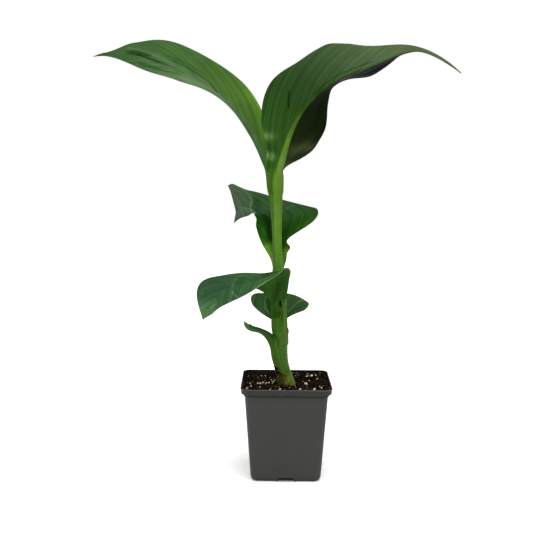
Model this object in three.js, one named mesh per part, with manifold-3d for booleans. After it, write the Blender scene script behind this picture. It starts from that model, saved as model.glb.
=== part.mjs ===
import * as THREE from 'three';
import { mergeVertices } from 'three/addons/utils/BufferGeometryUtils.js';
import Module from 'manifold-3d';

// Young canna in a square nursery pot: filled pot, one leaning stem and six leaves.
// Millimetres, +Z up. The origin is the centre of the pot's underside, and -Y is the front.

const wasm = await Module();
wasm.setup();

const clearance = 0.4; // space left between neighbouring pieces

// Pot
const potHeight = 90;
const rimWidth = 85;
const rimBand = 6; // height of the band round the mouth
const rimCorner = 8;
const bodyTopWidth = 78;
const bodyBaseWidth = 65.6;
const bodyCorner = 6.5;
const wall = 1.3;
const footRound = 1.2;
const drainWidth = 15;
const drainHeight = 3;
const drainDepth = 7;
const lipWidth = 21; // raised arch over each drain slot
const lipHeight = 9;
const lipThickness = 1.2;

// Soil
const soilTop = 83;

// Stem, described at even steps from the soil to the fork
const stemFoot = soilTop + clearance;
const stemFork = 289;
const stemLean = [3.6, -4.3, -6, -6.8, -7.3, -7.9, -9.2, -9.8, -10.9, -12.3];
const stemHalfWidth = [7.4, 7, 7.4, 7.4, 6.8, 5.6, 4.8, 5.2, 7, 8.6];
const stemHalfDepth = [7, 6.6, 6.8, 6.8, 6.2, 5.2, 4.6, 4.6, 5, 5.4];

// Leaves. turn is the midrib's heading and climb its slope in degrees, at even steps from base to tip.
// Each half has a width, a fold above the sideways direction at the rib, and a curl out to the margin.
const tipHalfWidth = 0.7;
const marginThinning = 0.3; // share of the thickness lost from rib to margin
const baseCrowding = 1 / 1.5; // width stations lie closer together near the base
const leaves = {
  leaf_top_left: {
    base: [-17.8, 5, 284],
    length: 260,
    turn: [147, 152, 157, 161],
    climb: [69, 55, 39, 26, 8, -3],
    leftWidth: [2, 4, 10, 28, 36, 36, 22, 0],
    rightWidth: [4, 9, 17, 28, 32, 30, 25, 0],
    leftFold: [22, 35, 6, -13, 4],
    rightFold: [53, 48, 44, 55, 41],
    leftCurl: -33,
    rightCurl: -13,
    thickness: 1.5,
    color: 0x4b6d39,
    splitAt: 0.5,
  },
  leaf_top_right: {
    base: [-7, -5, 286],
    length: 248,
    turn: [-42, -44, -48, -55],
    climb: [83, 65, 41, 19, 10, 9, -23, -35],
    leftWidth: [2, 23, 26, 32, 36, 30, 12, 0],
    rightWidth: [8, 17, 28, 39, 36, 33, 12, 0],
    leftFold: [50, -27, 31, 18, 29, 8, -8],
    rightFold: [47, 45, 40, 20, 55],
    leftCurl: -22,
    rightCurl: -6,
    thickness: 1.5,
    color: 0x2b4c1c,
    splitAt: 0.42,
  },
  leaf_middle: {
    base: [-8.9, 7.8, 198.7],
    length: 128,
    turn: [114, 96, 204, 307],
    climb: [91, 53, 23, 6, -76],
    leftWidth: [5, 7.5, 14.5, 19, 18, 20, 0],
    rightWidth: [6, 10, 13, 43, 37, 23, 0],
    leftFold: [23, 13, 3, -15],
    rightFold: [44, 26, 22, 58, 91],
    leftCurl: -35,
    rightCurl: 0,
    thickness: 1.4,
    color: 0x355530,
  },
  leaf_front: {
    base: [-9, -14, 160],
    length: 120,
    turn: [-113, -128, -133, -131],
    climb: [48, 28, 9, -27, -63],
    leftWidth: [8, 19, 29, 37, 32, 17, 0],
    rightWidth: [8, 18, 26, 17, 22, 25, 0],
    leftFold: [80, 61, 22, -7, -27],
    rightFold: [56, 77, 24, 10, 6],
    leftCurl: -15,
    rightCurl: 8,
    thickness: 1.4,
    color: 0x325431,
    splitAt: 0.4,
  },
  leaf_back: {
    base: [-6.7, 8.8, 145.8],
    length: 56.5,
    turn: [71, 60, 49, 40],
    climb: [20, 23, 21, 5, -24],
    leftWidth: [6, 20, 34, 38, 26, 15, 0],
    rightWidth: [6, 15, 22, 22, 20, 12, 0],
    leftFold: [12, 25, 29, 32],
    rightFold: [27, 12, 2, -9],
    leftCurl: 0,
    rightCurl: 0,
    thickness: 1.2,
    color: 0x3a5333,
  },
  leaf_side: {
    base: [-11.4, -1.9, 120.2],
    length: 41.5,
    turn: [191, 184, 183, 180],
    climb: [60, 67, 28, 16, 60],
    leftWidth: [5.5, 5.5, 5.2, 5.2, 6, 2],
    rightWidth: [4, 5, 5, 4.2, 3.8, 1],
    leftFold: [0, 0, 0, 0],
    rightFold: [41, 45, 43, 42],
    leftCurl: -50,
    rightCurl: -14,
    thickness: 1.2,
    color: 0x3f5f24,
  },
};

// Mesh fineness
const cornerSteps = 5;
const stemSides = 20;
const stemRings = 30;
const lipSegments = 12;
const leafRows = 30; // rows along a whole leaf
const halfSteps = 3; // steps from the rib to a margin
const leastRows = 4;
const ribSteps = 60; // short straight steps that the rib's curve is summed from
const weld = 1e-4; // points closer than this are one point
const leastCurl = 1e-4; // radians, stands for a straight half

const rad = THREE.MathUtils.degToRad;

// Smooth value through evenly spaced stations, for t from 0 to 1
function along(stations, t) {
  const last = stations.length - 1;
  const x = THREE.MathUtils.clamp(t, 0, 1) * last;
  const i = Math.min(Math.floor(x), last - 1);
  const f = x - i;
  const b = stations[i];
  const c = stations[i + 1];
  const a = i > 0 ? stations[i - 1] : 2 * b - c;
  const d = i + 2 <= last ? stations[i + 2] : 2 * c - b;
  return b + 0.5 * f * (c - a + f * (2 * a - 5 * b + 4 * c - d + f * (3 * (b - c) + d - a)));
}

// Closed surface through rings of equal, even count, each anticlockwise seen from the last ring's side
function loft(rings) {
  const count = rings[0].length;
  const positions = rings.flat().flatMap((p) => [p.x, p.y, p.z]);
  const index = [];
  for (let r = 0; r + 1 < rings.length; r++) {
    for (let j = 0; j < count; j++) {
      const a = r * count + j;
      const b = r * count + ((j + 1) % count);
      index.push(a, b, b + count, a, b + count, a + count);
    }
  }
  const end = (rings.length - 1) * count;
  for (let j = 0; j + 1 < count / 2; j++) {
    const k = count - 1 - j;
    index.push(j, k, k - 1, j, k - 1, j + 1);
    index.push(end + j, end + k - 1, end + k, end + j, end + j + 1, end + k - 1);
  }
  const geometry = new THREE.BufferGeometry();
  geometry.setAttribute('position', new THREE.Float32BufferAttribute(positions, 3));
  geometry.setIndex(index);
  return geometry;
}

function solidOf(geometry) {
  const bare = geometry.clone();
  bare.deleteAttribute('normal');
  bare.deleteAttribute('uv');
  const merged = mergeVertices(bare, weld);
  return new wasm.Manifold(new wasm.Mesh({
    numProp: 3,
    vertProperties: new Float32Array(merged.attributes.position.array),
    triVerts: new Uint32Array(merged.index.array),
  }));
}

function geometryOf(solid) {
  const { vertProperties, triVerts } = solid.getMesh();
  const geometry = new THREE.BufferGeometry();
  geometry.setAttribute('position', new THREE.Float32BufferAttribute(vertProperties, 3));
  geometry.setIndex(Array.from(triVerts));
  geometry.computeVertexNormals();
  return geometry;
}

// Largest connected piece of a solid
function mainPiece(solid) {
  return solid.decompose().reduce((best, piece) => (piece.volume() > best.volume() ? piece : best));
}

// Square ring with rounded corners, level at the given height
function squareRing(width, corner, height) {
  const inner = width / 2 - corner;
  const ring = [];
  for (let quarter = 0; quarter < 4; quarter++) {
    const centre = (quarter + 0.5) * Math.PI / 2;
    const cx = Math.sign(Math.cos(centre)) * inner;
    const cy = Math.sign(Math.sin(centre)) * inner;
    for (let s = 0; s <= cornerSteps; s++) {
      const angle = (quarter + s / cornerSteps) * Math.PI / 2;
      ring.push(new THREE.Vector3(cx + corner * Math.cos(angle), cy + corner * Math.sin(angle), height));
    }
  }
  return ring;
}

function bodyWidthAt(height) {
  return THREE.MathUtils.lerp(bodyBaseWidth, bodyTopWidth, height / (potHeight - rimBand));
}

// Pot: tapered shell with a stepped rim, and a drain slot under a raised arch in the middle of each side
function makePot() {
  const bandFoot = potHeight - rimBand;
  const shell = solidOf(loft([
    squareRing(bodyBaseWidth - 2 * footRound, bodyCorner - footRound, 0),
    squareRing(bodyWidthAt(footRound), bodyCorner, footRound),
    squareRing(bodyTopWidth, bodyCorner, bandFoot - wall),
    squareRing(rimWidth - wall, rimCorner - wall / 2, bandFoot),
    squareRing(rimWidth, rimCorner, bandFoot + wall),
    squareRing(rimWidth, rimCorner, potHeight),
    squareRing(rimWidth - 2 * wall, rimCorner - wall, potHeight),
    squareRing(rimWidth - 2 * wall, rimCorner - wall, bandFoot + 2 * wall),
    squareRing(bodyTopWidth - 2 * wall, bodyCorner - wall, bandFoot + wall / 2),
    squareRing(bodyWidthAt(wall) - 2 * wall, bodyCorner - wall, wall),
  ]));
  const arch = new THREE.Shape();
  arch.absellipse(0, 0, lipWidth / 2, lipHeight, 0, Math.PI);
  const lip = new THREE.ExtrudeGeometry(arch, {
    depth: lipThickness + wall / 2,
    bevelEnabled: false,
    curveSegments: lipSegments,
  });
  lip.rotateX(Math.PI / 2);
  lip.translate(0, -bodyBaseWidth / 2 + wall / 2, 0);
  const slot = new THREE.BoxGeometry(drainWidth, drainDepth, 2 * drainHeight);
  slot.translate(0, -bodyBaseWidth / 2 + drainDepth / 2 - 2 * lipThickness, 0);
  let pot = shell;
  for (let side = 0; side < 4; side++) {
    const turn = side * Math.PI / 2;
    pot = pot.add(solidOf(lip.clone().rotateZ(turn))).subtract(solidOf(slot.clone().rotateZ(turn)));
  }
  return geometryOf(pot);
}

// Soil: fills the pot below the rim
function makeSoil() {
  const foot = wall + clearance;
  const inset = 2 * (wall + clearance);
  return loft([
    squareRing(bodyWidthAt(foot) - inset, bodyCorner - wall, foot),
    squareRing(bodyWidthAt(soilTop) - inset, bodyCorner - wall, soilTop),
  ]);
}

// Stem: oval sections carried up a leaning line, grown by the given margin
function makeStem(grow) {
  const rings = [];
  for (let r = 0; r <= stemRings; r++) {
    const t = r / stemRings;
    const height = THREE.MathUtils.lerp(stemFoot - grow, stemFork + grow, t);
    const ring = [];
    for (let j = 0; j < stemSides; j++) {
      const angle = (j + 0.5) / stemSides * 2 * Math.PI;
      const x = along(stemLean, t) + (along(stemHalfWidth, t) + grow) * Math.cos(angle);
      ring.push(new THREE.Vector3(x, (along(stemHalfDepth, t) + grow) * Math.sin(angle), height));
    }
    rings.push(ring);
  }
  return loft(rings);
}

// Directions at t on a leaf: along the rib, to the left, and up out of the upper face
function ribDirections(leaf, t) {
  const heading = rad(along(leaf.turn, t));
  const slope = rad(along(leaf.climb, t));
  const forward = new THREE.Vector3(
    Math.cos(slope) * Math.cos(heading),
    Math.cos(slope) * Math.sin(heading),
    Math.sin(slope),
  );
  const left = new THREE.Vector3(-Math.sin(heading), Math.cos(heading), 0);
  const up = new THREE.Vector3().crossVectors(forward, left);
  return { forward, left, up };
}

function ribPoint(leaf, t) {
  const point = new THREE.Vector3(...leaf.base);
  const steps = Math.max(1, Math.round(t * ribSteps));
  for (let i = 0; i < steps; i++) {
    point.addScaledVector(ribDirections(leaf, (i + 0.5) / steps * t).forward, leaf.length * t / steps);
  }
  return point;
}

// Point and upper normal on one half of the section, across and up from the rib.
// s is 0 at the rib and 1 at the margin, and the half is an arc that leaves the rib at the fold angle.
function halfSection(leaf, side, t, s) {
  const width = Math.max(along(leaf[`${side}Width`], t ** baseCrowding), tipHalfWidth);
  const fold = rad(along(leaf[`${side}Fold`], t));
  const curl = rad(leaf[`${side}Curl`]) || leastCurl;
  const angle = fold + curl * s;
  const sign = side === 'left' ? 1 : -1;
  return {
    across: sign * width / curl * (Math.sin(angle) - Math.sin(fold)),
    rise: width / curl * (Math.cos(fold) - Math.cos(angle)),
    normalAcross: -sign * Math.sin(angle),
    normalUp: Math.cos(angle),
  };
}

// Closed ring round a leaf's cross-section at t: upper face left to right, then lower face back
function leafRing(leaf, t) {
  const origin = ribPoint(leaf, t);
  const { left, up } = ribDirections(leaf, t);
  const upper = [];
  const lower = [];
  for (let j = -halfSteps; j <= halfSteps; j++) {
    const s = Math.abs(j) / halfSteps;
    const a = halfSection(leaf, j <= 0 ? 'left' : 'right', t, s);
    const b = halfSection(leaf, j < 0 ? 'left' : 'right', t, s);
    const normal = new THREE.Vector2(a.normalAcross + b.normalAcross, a.normalUp + b.normalUp).normalize();
    const half = leaf.thickness / 2 * (1 - marginThinning * s);
    for (const [face, offset] of [[upper, half], [lower, -half]]) {
      face.push(origin.clone()
        .addScaledVector(left, a.across + offset * normal.x)
        .addScaledVector(up, a.rise + offset * normal.y));
    }
  }
  return upper.concat(lower.reverse());
}

function makeLeaf(leaf, from, to) {
  const rows = Math.max(leastRows, Math.round(leafRows * (to - from)));
  const rings = [];
  for (let r = 0; r <= rows; r++) {
    rings.push(leafRing(leaf, THREE.MathUtils.lerp(from, to, r / rows)));
  }
  return loft(rings);
}

const plant = new THREE.Group();

function addPiece(name, geometry, color, roughness) {
  const mesh = new THREE.Mesh(geometry, new THREE.MeshStandardMaterial({ color, roughness, metalness: 0 }));
  mesh.name = name;
  plant.add(mesh);
}

addPiece('pot', makePot(), 0x454544, 0.6);
addPiece('soil', makeSoil(), 0x1c1710, 0.95);
addPiece('stem', makeStem(0), 0x46681f, 0.5);

// Leaves: the long arching ones are two nodes each, parted across the blade at the bend
const stemRoom = solidOf(makeStem(clearance));
for (const [name, leaf] of Object.entries(leaves)) {
  const part = clearance / leaf.length;
  const spans = leaf.splitAt
    ? { [`${name}_base`]: [0, leaf.splitAt], [`${name}_tip`]: [leaf.splitAt + part, 1] }
    : { [name]: [0, 1] };
  for (const [node, [from, to]] of Object.entries(spans)) {
    const blade = solidOf(makeLeaf(leaf, from, to)).subtract(stemRoom);
    addPiece(node, geometryOf(mainPiece(blade)), leaf.color, 0.45);
  }
}

export default plant;
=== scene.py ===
import math

import bpy
import numpy as np
from mathutils import Matrix, Vector


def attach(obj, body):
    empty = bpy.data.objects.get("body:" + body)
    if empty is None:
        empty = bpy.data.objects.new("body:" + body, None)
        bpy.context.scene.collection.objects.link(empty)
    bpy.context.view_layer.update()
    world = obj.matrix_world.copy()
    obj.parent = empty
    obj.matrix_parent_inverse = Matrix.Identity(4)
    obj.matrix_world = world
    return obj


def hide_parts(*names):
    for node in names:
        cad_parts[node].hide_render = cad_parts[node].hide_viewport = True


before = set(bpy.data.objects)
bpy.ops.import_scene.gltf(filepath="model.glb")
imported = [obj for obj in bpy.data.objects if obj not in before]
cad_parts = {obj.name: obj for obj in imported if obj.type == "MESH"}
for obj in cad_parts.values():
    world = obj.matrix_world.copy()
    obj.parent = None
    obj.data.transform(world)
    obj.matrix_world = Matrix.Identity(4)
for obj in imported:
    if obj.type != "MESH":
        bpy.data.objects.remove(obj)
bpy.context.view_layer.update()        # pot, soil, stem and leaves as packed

mm = 0.001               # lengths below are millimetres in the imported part's frame
scene = bpy.context.scene
scene.view_settings.view_transform = "Standard"
print("frame loaded:", len(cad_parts), "nodes")


# Shared helpers

def toLinear(hexColour):
    # sRGB hex to linear red, green, blue and a full alpha
    srgb = np.array([int(hexColour[i:i + 2], 16) for i in (1, 3, 5)]) / 255
    return np.append(np.where(srgb <= 0.04045, srgb / 12.92, ((srgb + 0.055) / 1.055) ** 2.4), 1.0)


def addNode(owner, kind, inputs=None, **settings):
    # one shader node: its settings, then each input as a value or as a link from another node's output
    node = owner.node_tree.nodes.new("ShaderNode" + kind)
    for key, value in settings.items():
        setattr(node, key, value)
    for socket, value in (inputs or {}).items():
        if isinstance(value, bpy.types.NodeSocket):
            owner.node_tree.links.new(value, node.inputs[socket])
        else:
            node.inputs[socket].default_value = value
    return node


def newMaterial(name):
    # empty material and its object coordinates
    material = bpy.data.materials.new(name)
    material.use_nodes = True
    material.node_tree.nodes.clear()
    return material, addNode(material, "TexCoord").outputs["Object"]


def pattern(material, vector, size, low, high, detail=3.0):
    # soft noise with spots of the given size, its middle range spread over low to high
    noise = addNode(material, "TexNoise", {"Vector": vector, "Scale": 1 / size, "Detail": detail})
    return addNode(material, "MapRange", {"Value": noise.outputs["Fac"], "From Min": 0.3, "From Max": 0.7,
                                          "To Min": low, "To Max": high}).outputs[0]


def shaded(material, colour, *tones):
    # a colour multiplied by one or more grey tones
    for tone in tones:
        colour = addNode(material, "Mix", {0: 1.0, 6: colour, 7: tone},
                         data_type="RGBA", blend_type="MULTIPLY").outputs[2]
    return colour


def finishMaterial(material, **inputs):
    shader = addNode(material, "BsdfPrincipled", {key.replace("_", " "): value for key, value in inputs.items()})
    addNode(material, "OutputMaterial", {"Surface": shader.outputs[0]})
    return material


def along(stations, t):
    # smooth value through evenly spaced stations (Catmull-Rom, ends carried on straight), t from 0 to 1
    p = np.asarray(stations, float)
    x = np.clip(t, 0, 1) * (len(p) - 1)
    i = np.minimum(x.astype(int), len(p) - 2)
    f = x - i
    wide = np.concatenate([[2 * p[0] - p[1]], p, [2 * p[-1] - p[-2]]])
    a, b, c, d = (wide[i + k] for k in range(4))
    return b + 0.5 * f * (c - a + f * (2 * a - 5 * b + 4 * c - d + f * (3 * (b - c) + d - a)))


def ease(low, high, x):
    # 0 below low, 1 above high, smooth between
    f = np.clip((x - low) / (high - low), 0, 1)
    return f * f * (3 - 2 * f)


def bell(x):
    return np.exp(-x * x)


def blend(first, second, share):
    # colours mixed by a share from 0 to 1
    return first + (second - first) * np.asarray(share)[..., None]


def tintAlong(hexes, t):
    # colour between evenly spaced colours, t from 0 to 1
    table = np.array([toLinear(h) for h in hexes])
    places = np.linspace(0, 1, len(hexes))
    return np.stack([np.interp(t, places, table[:, k]) for k in range(4)], -1)


def lumps(x, y, size, seed):
    # smooth random bumps from 0 to 1: a seeded lattice of the given size, eased between its points
    lattice = 61
    table = np.random.RandomState(seed).rand(lattice, lattice)
    gx, gy = np.broadcast_arrays(x / size, y / size)
    ix, iy = np.floor(gx).astype(int), np.floor(gy).astype(int)
    fx, fy = ease(0, 1, gx - ix), ease(0, 1, gy - iy)
    corner = lambda i, j: table[(ix + i) % lattice, (iy + j) % lattice]
    near = corner(0, 0) * (1 - fx) + corner(1, 0) * fx
    far = corner(0, 1) * (1 - fx) + corner(1, 1) * fx
    return near * (1 - fy) + far * fy


def wrapFaces(rows, cols):
    # quads of a grid whose columns run round and close
    r, c = np.meshgrid(np.arange(rows - 1), np.arange(cols), indexing="ij")
    a, b = r * cols + c, r * cols + (c + 1) % cols
    return np.stack([a, b, b + cols, a + cols], -1).reshape(-1, 4).tolist()


def endCaps(rows, cols):
    # one face for the first ring and one for the last
    return [list(range(cols))[::-1], list(range((rows - 1) * cols, rows * cols))]


def stripCap(first, cols):
    # closes a flat ring of even count from side to side
    j = np.arange(cols // 2 - 1)
    return np.stack([first + j, first + cols - 1 - j, first + cols - 2 - j, first + j + 1], -1)


def makePiece(name, points, faces, material, replaced=(), values=None, crease=50):
    # points in millimetres; values are named numbers or colours, one for each point
    mesh = bpy.data.meshes.new(name)
    mesh.from_pydata((points.reshape(-1, 3) * mm).tolist(), [], faces)
    count = len(mesh.vertices)
    for key, value in (values or {}).items():
        flat = np.asarray(value, np.float32)
        isColour = flat.size == 4 * count
        layer = mesh.attributes.new(key, "FLOAT_COLOR" if isColour else "FLOAT", "POINT")
        layer.data.foreach_set("color" if isColour else "value", flat.ravel())
    mesh.polygons.foreach_set("use_smooth", np.ones(len(mesh.polygons), bool))
    mesh.set_sharp_from_angle(angle=math.radians(crease))
    mesh.materials.append(material)
    mesh.update()
    piece = bpy.data.objects.new(name, mesh)
    scene.collection.objects.link(piece)
    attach(piece, "root")
    if replaced:
        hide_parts(*replaced)
    print("made", name, len(mesh.polygons), "faces")


# Camera, where the pot's edges in the photograph put it

cameraSet = dict(place=(-13.1, -732.8, 265.3), pitch=-5.089, yaw=-0.503, roll=0.370,
                 focal=768, frame=533, sensor=36)


def placeCamera(c):
    # forward from pitch and yaw, then side and up turned by the roll; focal and frame are in photo pixels
    pitch, yaw, roll = np.radians([c["pitch"], c["yaw"], c["roll"]])
    forward = np.array([np.sin(yaw) * np.cos(pitch), np.cos(yaw) * np.cos(pitch), np.sin(pitch)])
    level = np.array([np.cos(yaw), -np.sin(yaw), 0])
    upright = np.cross(level, forward)
    matrix = np.eye(4)
    matrix[:3, 0] = np.cos(roll) * level + np.sin(roll) * upright
    matrix[:3, 1] = np.cos(roll) * upright - np.sin(roll) * level
    matrix[:3, 2] = -forward
    matrix[:3, 3] = np.array(c["place"]) * mm
    lens = bpy.data.cameras.new("camera")
    lens.sensor_width = c["sensor"]
    lens.lens = lens.sensor_width * c["focal"] / c["frame"]
    camera = bpy.data.objects.new("camera", lens)
    camera.matrix_world = Matrix(matrix.tolist())
    scene.collection.objects.link(camera)
    scene.camera = camera


placeCamera(cameraSet)


# Studio: pale floor, soft overhead light, white surround

studio = dict(floorHalf=6000, floorColour="#f9f9f8", floorGlow=0.12, paperTooth=3, paperShade=0.985,
              surround=0.58, backdrop=1.0,
              sun=3.0, sunSpread=50, sunFrom=(16, 0, 24),
              fill=7, fillSize=900, fillAt=(-700, -900, 1100), fillAim=(0, 0, 250))


def makeStudio(s):
    h = s["floorHalf"]
    corners = np.array([(-h, -h, 0), (h, -h, 0), (h, h, 0), (-h, h, 0)]) * mm
    mesh = bpy.data.meshes.new("floor")
    mesh.from_pydata(corners.tolist(), [], [(0, 1, 2, 3)])
    paper, place = newMaterial("matt white paper")       # soft white with a barely visible tooth
    tooth = pattern(paper, place, s["paperTooth"] * mm, s["paperShade"], 1.0)
    paperWhite = toLinear(s["floorColour"])
    finishMaterial(paper, Base_Color=shaded(paper, paperWhite, tooth), Roughness=0.95,
                   Emission_Color=paperWhite, Emission_Strength=s["floorGlow"])
    mesh.materials.append(paper)
    floor = bpy.data.objects.new("floor", mesh)
    scene.collection.objects.link(floor)
    world = bpy.data.worlds.new("studio")
    scene.world = world
    world.use_nodes = True
    world.node_tree.nodes.clear()
    white = (1, 1, 1, 1)
    path = addNode(world, "LightPath")
    glow = addNode(world, "Background", {"Color": white, "Strength": s["surround"]})
    seen = addNode(world, "Background", {"Color": white, "Strength": s["backdrop"]})
    both = addNode(world, "MixShader", {0: path.outputs["Is Camera Ray"], 1: glow.outputs[0], 2: seen.outputs[0]})
    addNode(world, "OutputWorld", {"Surface": both.outputs[0]})
    sun = bpy.data.lights.new("overhead", "SUN")
    sun.energy = s["sun"]
    sun.angle = math.radians(s["sunSpread"])
    lamp = bpy.data.objects.new("overhead", sun)
    lamp.rotation_euler = [math.radians(a) for a in s["sunFrom"]]
    scene.collection.objects.link(lamp)
    softbox = bpy.data.lights.new("softbox", "AREA")
    softbox.energy = s["fill"]
    softbox.size = s["fillSize"] * mm
    fill = bpy.data.objects.new("softbox", softbox)
    fill.location = Vector(s["fillAt"]) * mm
    fill.rotation_euler = (Vector(s["fillAim"]) - Vector(s["fillAt"])).to_track_quat("-Z", "Y").to_euler()
    scene.collection.objects.link(fill)


makeStudio(studio)
print("studio ready")


# Pot: a profile carried round a square with rounded corners

pot = dict(height=90, rim=85.6, bandHeight=5.2, rimCorner=8, bodyTop=78.4, bodyBase=65.8, bodyCorner=6.5, wall=1.1,
           foot=5, collar=2.3, collarStep=0.5, flange=0.5, bead=0.6, taper=0.3, tuck=0.4, floorLap=8,
           softEdge=0.3, crispEdge=0.2, floorEdge=1, flareEdge=1.2, bandEdge=0.5,
           drainWidth=14.5, drainHeight=4.5, drainDepth=9, recess=0.8, recessSlope=1, recessReach=20,
           underCorners=(1.5, 1.2, 1), lipWidth=23, lipHeight=9, lipThickness=1.0, lipSoft=0.6, lipInset=4,
           rowGap=1.2, sideSteps=61, cornerSteps=10, hair=0.1, slack=0.01, body="#2f2f2d", band="#262625",
           bandSoft=0.5, rimHighlight="#5c5c5a", rimHighlightWidth=0.25, rimHighlightReach=0.9, dirtAndShade="#060605", dirtAndShadeReach=0.5,
           shadeLine="#0e0e0d", collarShadeWidth=0.8, footShadeHeight=2.4, cloudSize=18, toothSize=0.7)


def squareRings(half, corner, runs, cornerSteps):
    # rounded square rings: four straight runs, each followed by a quarter arc. half and corner have one value
    # a row. Also gives how far each point is along its side, endless on the arcs
    flat = half - corner
    angle = np.radians(np.linspace(0, 90, cornerSteps)[1:-1]) - np.pi / 2
    sideX, sideY = runs * flat, -half + 0 * runs
    arcX, arcY = flat + corner * np.cos(angle), -flat + corner * np.sin(angle)
    x, y = np.hstack([sideX, arcX]), np.hstack([sideY, arcY])
    place = np.hstack([sideX, np.full_like(arcX, np.inf)])
    quarter = [(x, y), (-y, x), (-x, -y), (y, -x)]
    ring = np.stack([np.hstack([q[0] for q in quarter]), np.hstack([q[1] for q in quarter])], -1)
    return ring, np.hstack([place] * 4)


def roundedProfile(profile, gap, curveSteps=5):
    # polyline with each inner corner turned into a short curve by its last value, then filled in to an even spacing
    p, rounding = np.split(np.array(profile, float), [-1], axis=1)
    line = [p[0]]
    for before, here, after, r in zip(p, p[1:], p[2:], rounding[1:]):
        start = here + (before - here) / np.linalg.norm(before - here) * r
        end = here + (after - here) / np.linalg.norm(after - here) * r
        k = np.linspace(0, 1, curveSteps)[:, None]
        line.extend((1 - k) ** 2 * start + 2 * k * (1 - k) * here + k * k * end)
    line = np.array(line + [p[-1]])
    run = np.append(0, np.cumsum(np.linalg.norm(np.diff(line, axis=0), axis=1)))
    marks = np.unique(np.append(run, np.arange(0, run[-1], gap)).round(3))
    return np.stack([np.interp(marks, run, line[:, k]) for k in range(line.shape[1])], -1)


def makePot(p, material):
    base, top, rim, wall, tall = p["bodyBase"] / 2, p["bodyTop"] / 2, p["rim"] / 2, p["wall"], p["height"]
    bandFoot = tall - p["bandHeight"]
    collarFoot = bandFoot - p["collar"]
    drain = base - p["drainDepth"]
    corner, rimCorner, step = p["bodyCorner"], p["rimCorner"], p["collarStep"]
    soft, crisp, taper = p["softEdge"], p["crispEdge"], p["taper"]
    under = p["underCorners"]
    # half width, height, corner radius and rounding, from the inside floor over the rim to the underside
    profile = [(base - p["floorLap"], wall, corner - wall, 0), (base - wall, wall, corner - wall, p["floorEdge"]),
               (top - wall, bandFoot, corner - wall, p["flareEdge"]),
               (rim - wall, bandFoot + 2 * wall, rimCorner - wall, p["flareEdge"]),
               (rim - wall, tall, rimCorner - wall, soft), (rim, tall, rimCorner, soft),
               (rim, tall - p["bead"], rimCorner, crisp),
               (rim - p["flange"], tall - p["bead"] - taper, rimCorner, crisp),
               (rim - p["flange"] - taper, bandFoot, rimCorner, p["bandEdge"]),
               (top + step, bandFoot - taper, corner + step, soft), (top + step, collarFoot, corner + step, soft),
               (top - p["tuck"], collarFoot - step, corner, crisp), (base, 0, corner, p["foot"]),
               (drain, 0, under[0], crisp), (drain - p["recessSlope"], p["recess"], under[1], soft),
               (base - p["recessReach"], p["recess"], under[2], 0)]
    rows = roundedProfile(profile, p["rowGap"])
    half, outside = rows[:, :1], np.arange(len(rows))[:, None] > np.argmax(rows[:, 0])
    slot = p["drainWidth"] / 2
    edges = np.array([-slot - p["hair"], -slot, slot, slot + p["hair"]]) / (base - corner)
    runs = np.unique(np.append(np.linspace(-1, 1, p["sideSteps"]), edges))
    ring, place = squareRings(half, rows[:, 2:], runs, p["cornerSteps"])
    height = np.repeat(rows[:, 1:2], ring.shape[1], 1)
    # raised arch over each drain slot: swells outwards inside a half ellipse
    arch = 1 - (place / (p["lipWidth"] / 2)) ** 2 - (height / p["lipHeight"]) ** 2
    swell = 1 + p["lipThickness"] * ease(0, p["lipSoft"], arch) * outside * (half > base - p["lipInset"]) / half
    # drain slot: the foot and the outer underside lifted over the slot's width
    inSlot = outside & (half > drain - p["recessSlope"] / 2) & (np.abs(place) <= slot + p["slack"])
    height = np.where(inSlot, np.maximum(height, p["drainHeight"]), height)
    points = np.dstack([ring * swell[..., None], height])
    count, around = points.shape[:2]
    faces = [f[::-1] for f in wrapFaces(count, around) + endCaps(count, around)]
    # darker band, painted shade as dark lines under the collar and along the foot, painted highlight as a pale line
    # round the top edge, dark inside the pot from dirt and painted shade, painted shade in the slots
    onRim = ease(bandFoot - p["bandSoft"], bandFoot, height) * outside
    tint = blend(toLinear(p["body"]), toLinear(p["band"]), onRim)
    # painted shade: a dark line under the collar, then one along the foot's edge
    tint = blend(tint, toLinear(p["shadeLine"]), bell((height - collarFoot - step) / p["collarShadeWidth"]) * outside)
    tint = blend(tint, toLinear(p["shadeLine"]), bell(height / p["footShadeHeight"]) * outside)
    # painted highlight: a pale line round the rim's top edge
    rimHighlight = bell((height - tall) / p["rimHighlightWidth"]) * (half > rim - p["rimHighlightReach"])
    tint = blend(tint, toLinear(p["rimHighlight"]), rimHighlight)
    # near-black inside the pot, from dirt and painted shade, and painted shade on the drain slots' lifted underside
    dirtAndShadeMask = (~outside & (half < rim - p["dirtAndShadeReach"])) | (inSlot & (rows[:, 1:2] < p["hair"]))
    tint = np.where(dirtAndShadeMask[..., None], toLinear(p["dirtAndShade"]), tint)
    makePiece("nursery_pot", points, faces, material, ["pot"], dict(tint=tint), crease=30)


def potPlastic(p):
    # injection-moulded polypropylene: satin charcoal, faint cloudy flow marks and a fine moulded tooth
    material, place = newMaterial("moulded polypropylene")
    tone = pattern(material, place, p["cloudSize"] * mm, 0.93, 1.07, 4.0)
    rough = pattern(material, place, p["cloudSize"] * mm, 0.42, 0.55, 4.0)
    tooth = pattern(material, place, p["toothSize"] * mm, 0.0, 1.0, 2.0)
    bump = addNode(material, "Bump", {"Height": tooth, "Distance": 0.05 * mm, "Strength": 0.5})
    tint = addNode(material, "Attribute", attribute_name="tint")
    return finishMaterial(material, Base_Color=shaded(material, tint.outputs["Color"], tone), Roughness=rough,
                          Normal=bump.outputs[0], IOR=1.49, Specular_IOR_Level=0.2)


makePot(pot, potPlastic(pot))


# Soil: square rings from the middle to the wall, lifted by lumps, with a plain skirt down to the pot's floor

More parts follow.
